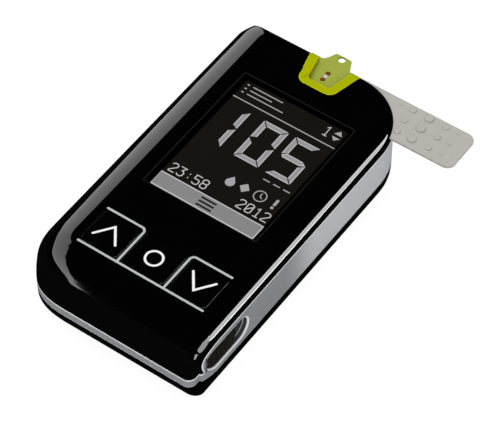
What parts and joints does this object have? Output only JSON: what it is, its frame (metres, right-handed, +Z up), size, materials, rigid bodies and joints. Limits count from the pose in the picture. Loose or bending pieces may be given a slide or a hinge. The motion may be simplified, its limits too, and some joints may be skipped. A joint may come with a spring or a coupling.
{
  "type": "blood glucose meter",
  "caption": "Pocket blood glucose meter with a gloss black case, silver side panel, press keys, strip ejector, battery door and a side-loaded test strip.",
  "frame": {"origin": "centre of the flat bottom face that the meter rests on", "axes": "+X across the meter in the reading direction, towards the silver side panel; +Y along the meter from the nose to the strip port; +Z up out of the display"},
  "size_m": [0.069, 0.097, 0.019],
  "materials": {
    "gloss_black": "high gloss",
    "silver_paint": "satin metallic paint",
    "window_glass": "clear, dark tinted",
    "lcd_glass": "dark",
    "white_plastic": "matte",
    "line_grey": "satin",
    "lime_plastic": "gloss",
    "strip_grey": "satin film",
    "strip_lime": "satin film",
    "electrode_brown": "coated",
    "grip_rubber": "matte",
    "dark_plastic": "matte",
    "spring_steel": "bright",
    "gold_contact": "plated",
    "board_green": "solder mask",
    "cell_sleeve": "foil sleeve"
  },
  "bodies": {
    "housing": {"bottom_cover": "gloss_black", "mid_frame": "silver_paint", "top_cover": "gloss_black", "port_bezel": "lime_plastic", "display_window": "window_glass", "lcd_panel": "lcd_glass", "lcd_frame": "white_plastic", "backlight": "white_plastic", "lcd_connector": "dark_plastic", "key_trim": "line_grey", "key_domes": "spring_steel", "main_board": "board_green", "controller_chip": "dark_plastic", "buzzer": "dark_plastic", "strip_guide": "dark_plastic", "strip_contacts": "gold_contact", "slider_bed": "dark_plastic", "return_spring": "spring_steel", "battery_left": "cell_sleeve", "battery_right": "cell_sleeve", "battery_springs": "spring_steel", "battery_plates": "spring_steel", "case_screws": "spring_steel"},
    "up_button": {"up_key": "gloss_black"},
    "enter_button": {"enter_key": "gloss_black"},
    "down_button": {"down_key": "gloss_black"},
    "ejector": {"ejector_slider": "grip_rubber", "slider_shoe": "dark_plastic", "ejector_rod": "white_plastic"},
    "pusher": {"strip_pusher": "white_plastic"},
    "test_strip": {"strip_handle": "strip_grey", "strip_head": "strip_lime", "strip_electrodes": "electrode_brown"},
    "door": {"battery_door": "gloss_black"}
  },
  "joints": [
    {"name": "up_key_press", "type": "slide", "parent": "housing", "child": "up_button", "axis": [0, 0, -1], "range_m": [0, 0.0003], "stiffness_N_per_m": 4000},
    {"name": "enter_key_press", "type": "slide", "parent": "housing", "child": "enter_button", "axis": [0, 0, -1], "range_m": [0, 0.0003], "stiffness_N_per_m": 4000},
    {"name": "down_key_press", "type": "slide", "parent": "housing", "child": "down_button", "axis": [0, 0, -1], "range_m": [0, 0.0003], "stiffness_N_per_m": 4000},
    {"name": "ejector_slide", "type": "slide", "parent": "housing", "child": "ejector", "axis": [0, 1, 0], "range_m": [0, 0.0038], "stiffness_N_per_m": 400, "deforming": ["return_spring"]},
    {"name": "pusher_slide", "type": "slide", "parent": "housing", "child": "pusher", "axis": [1, 0, 0], "range_m": [0, 0.0038]},
    {"name": "strip_slide", "type": "slide", "parent": "pusher", "child": "test_strip", "axis": [1, 0, 0], "range_m": [0, 0.032]},
    {"name": "door_lift", "type": "slide", "parent": "housing", "child": "door", "axis": [0, 0, -1], "range_m": [0, 0.012]}
  ],
  "couplings": [
    {"joint": "pusher_slide", "follows": "ejector_slide", "ratio": 1}
  ]
}
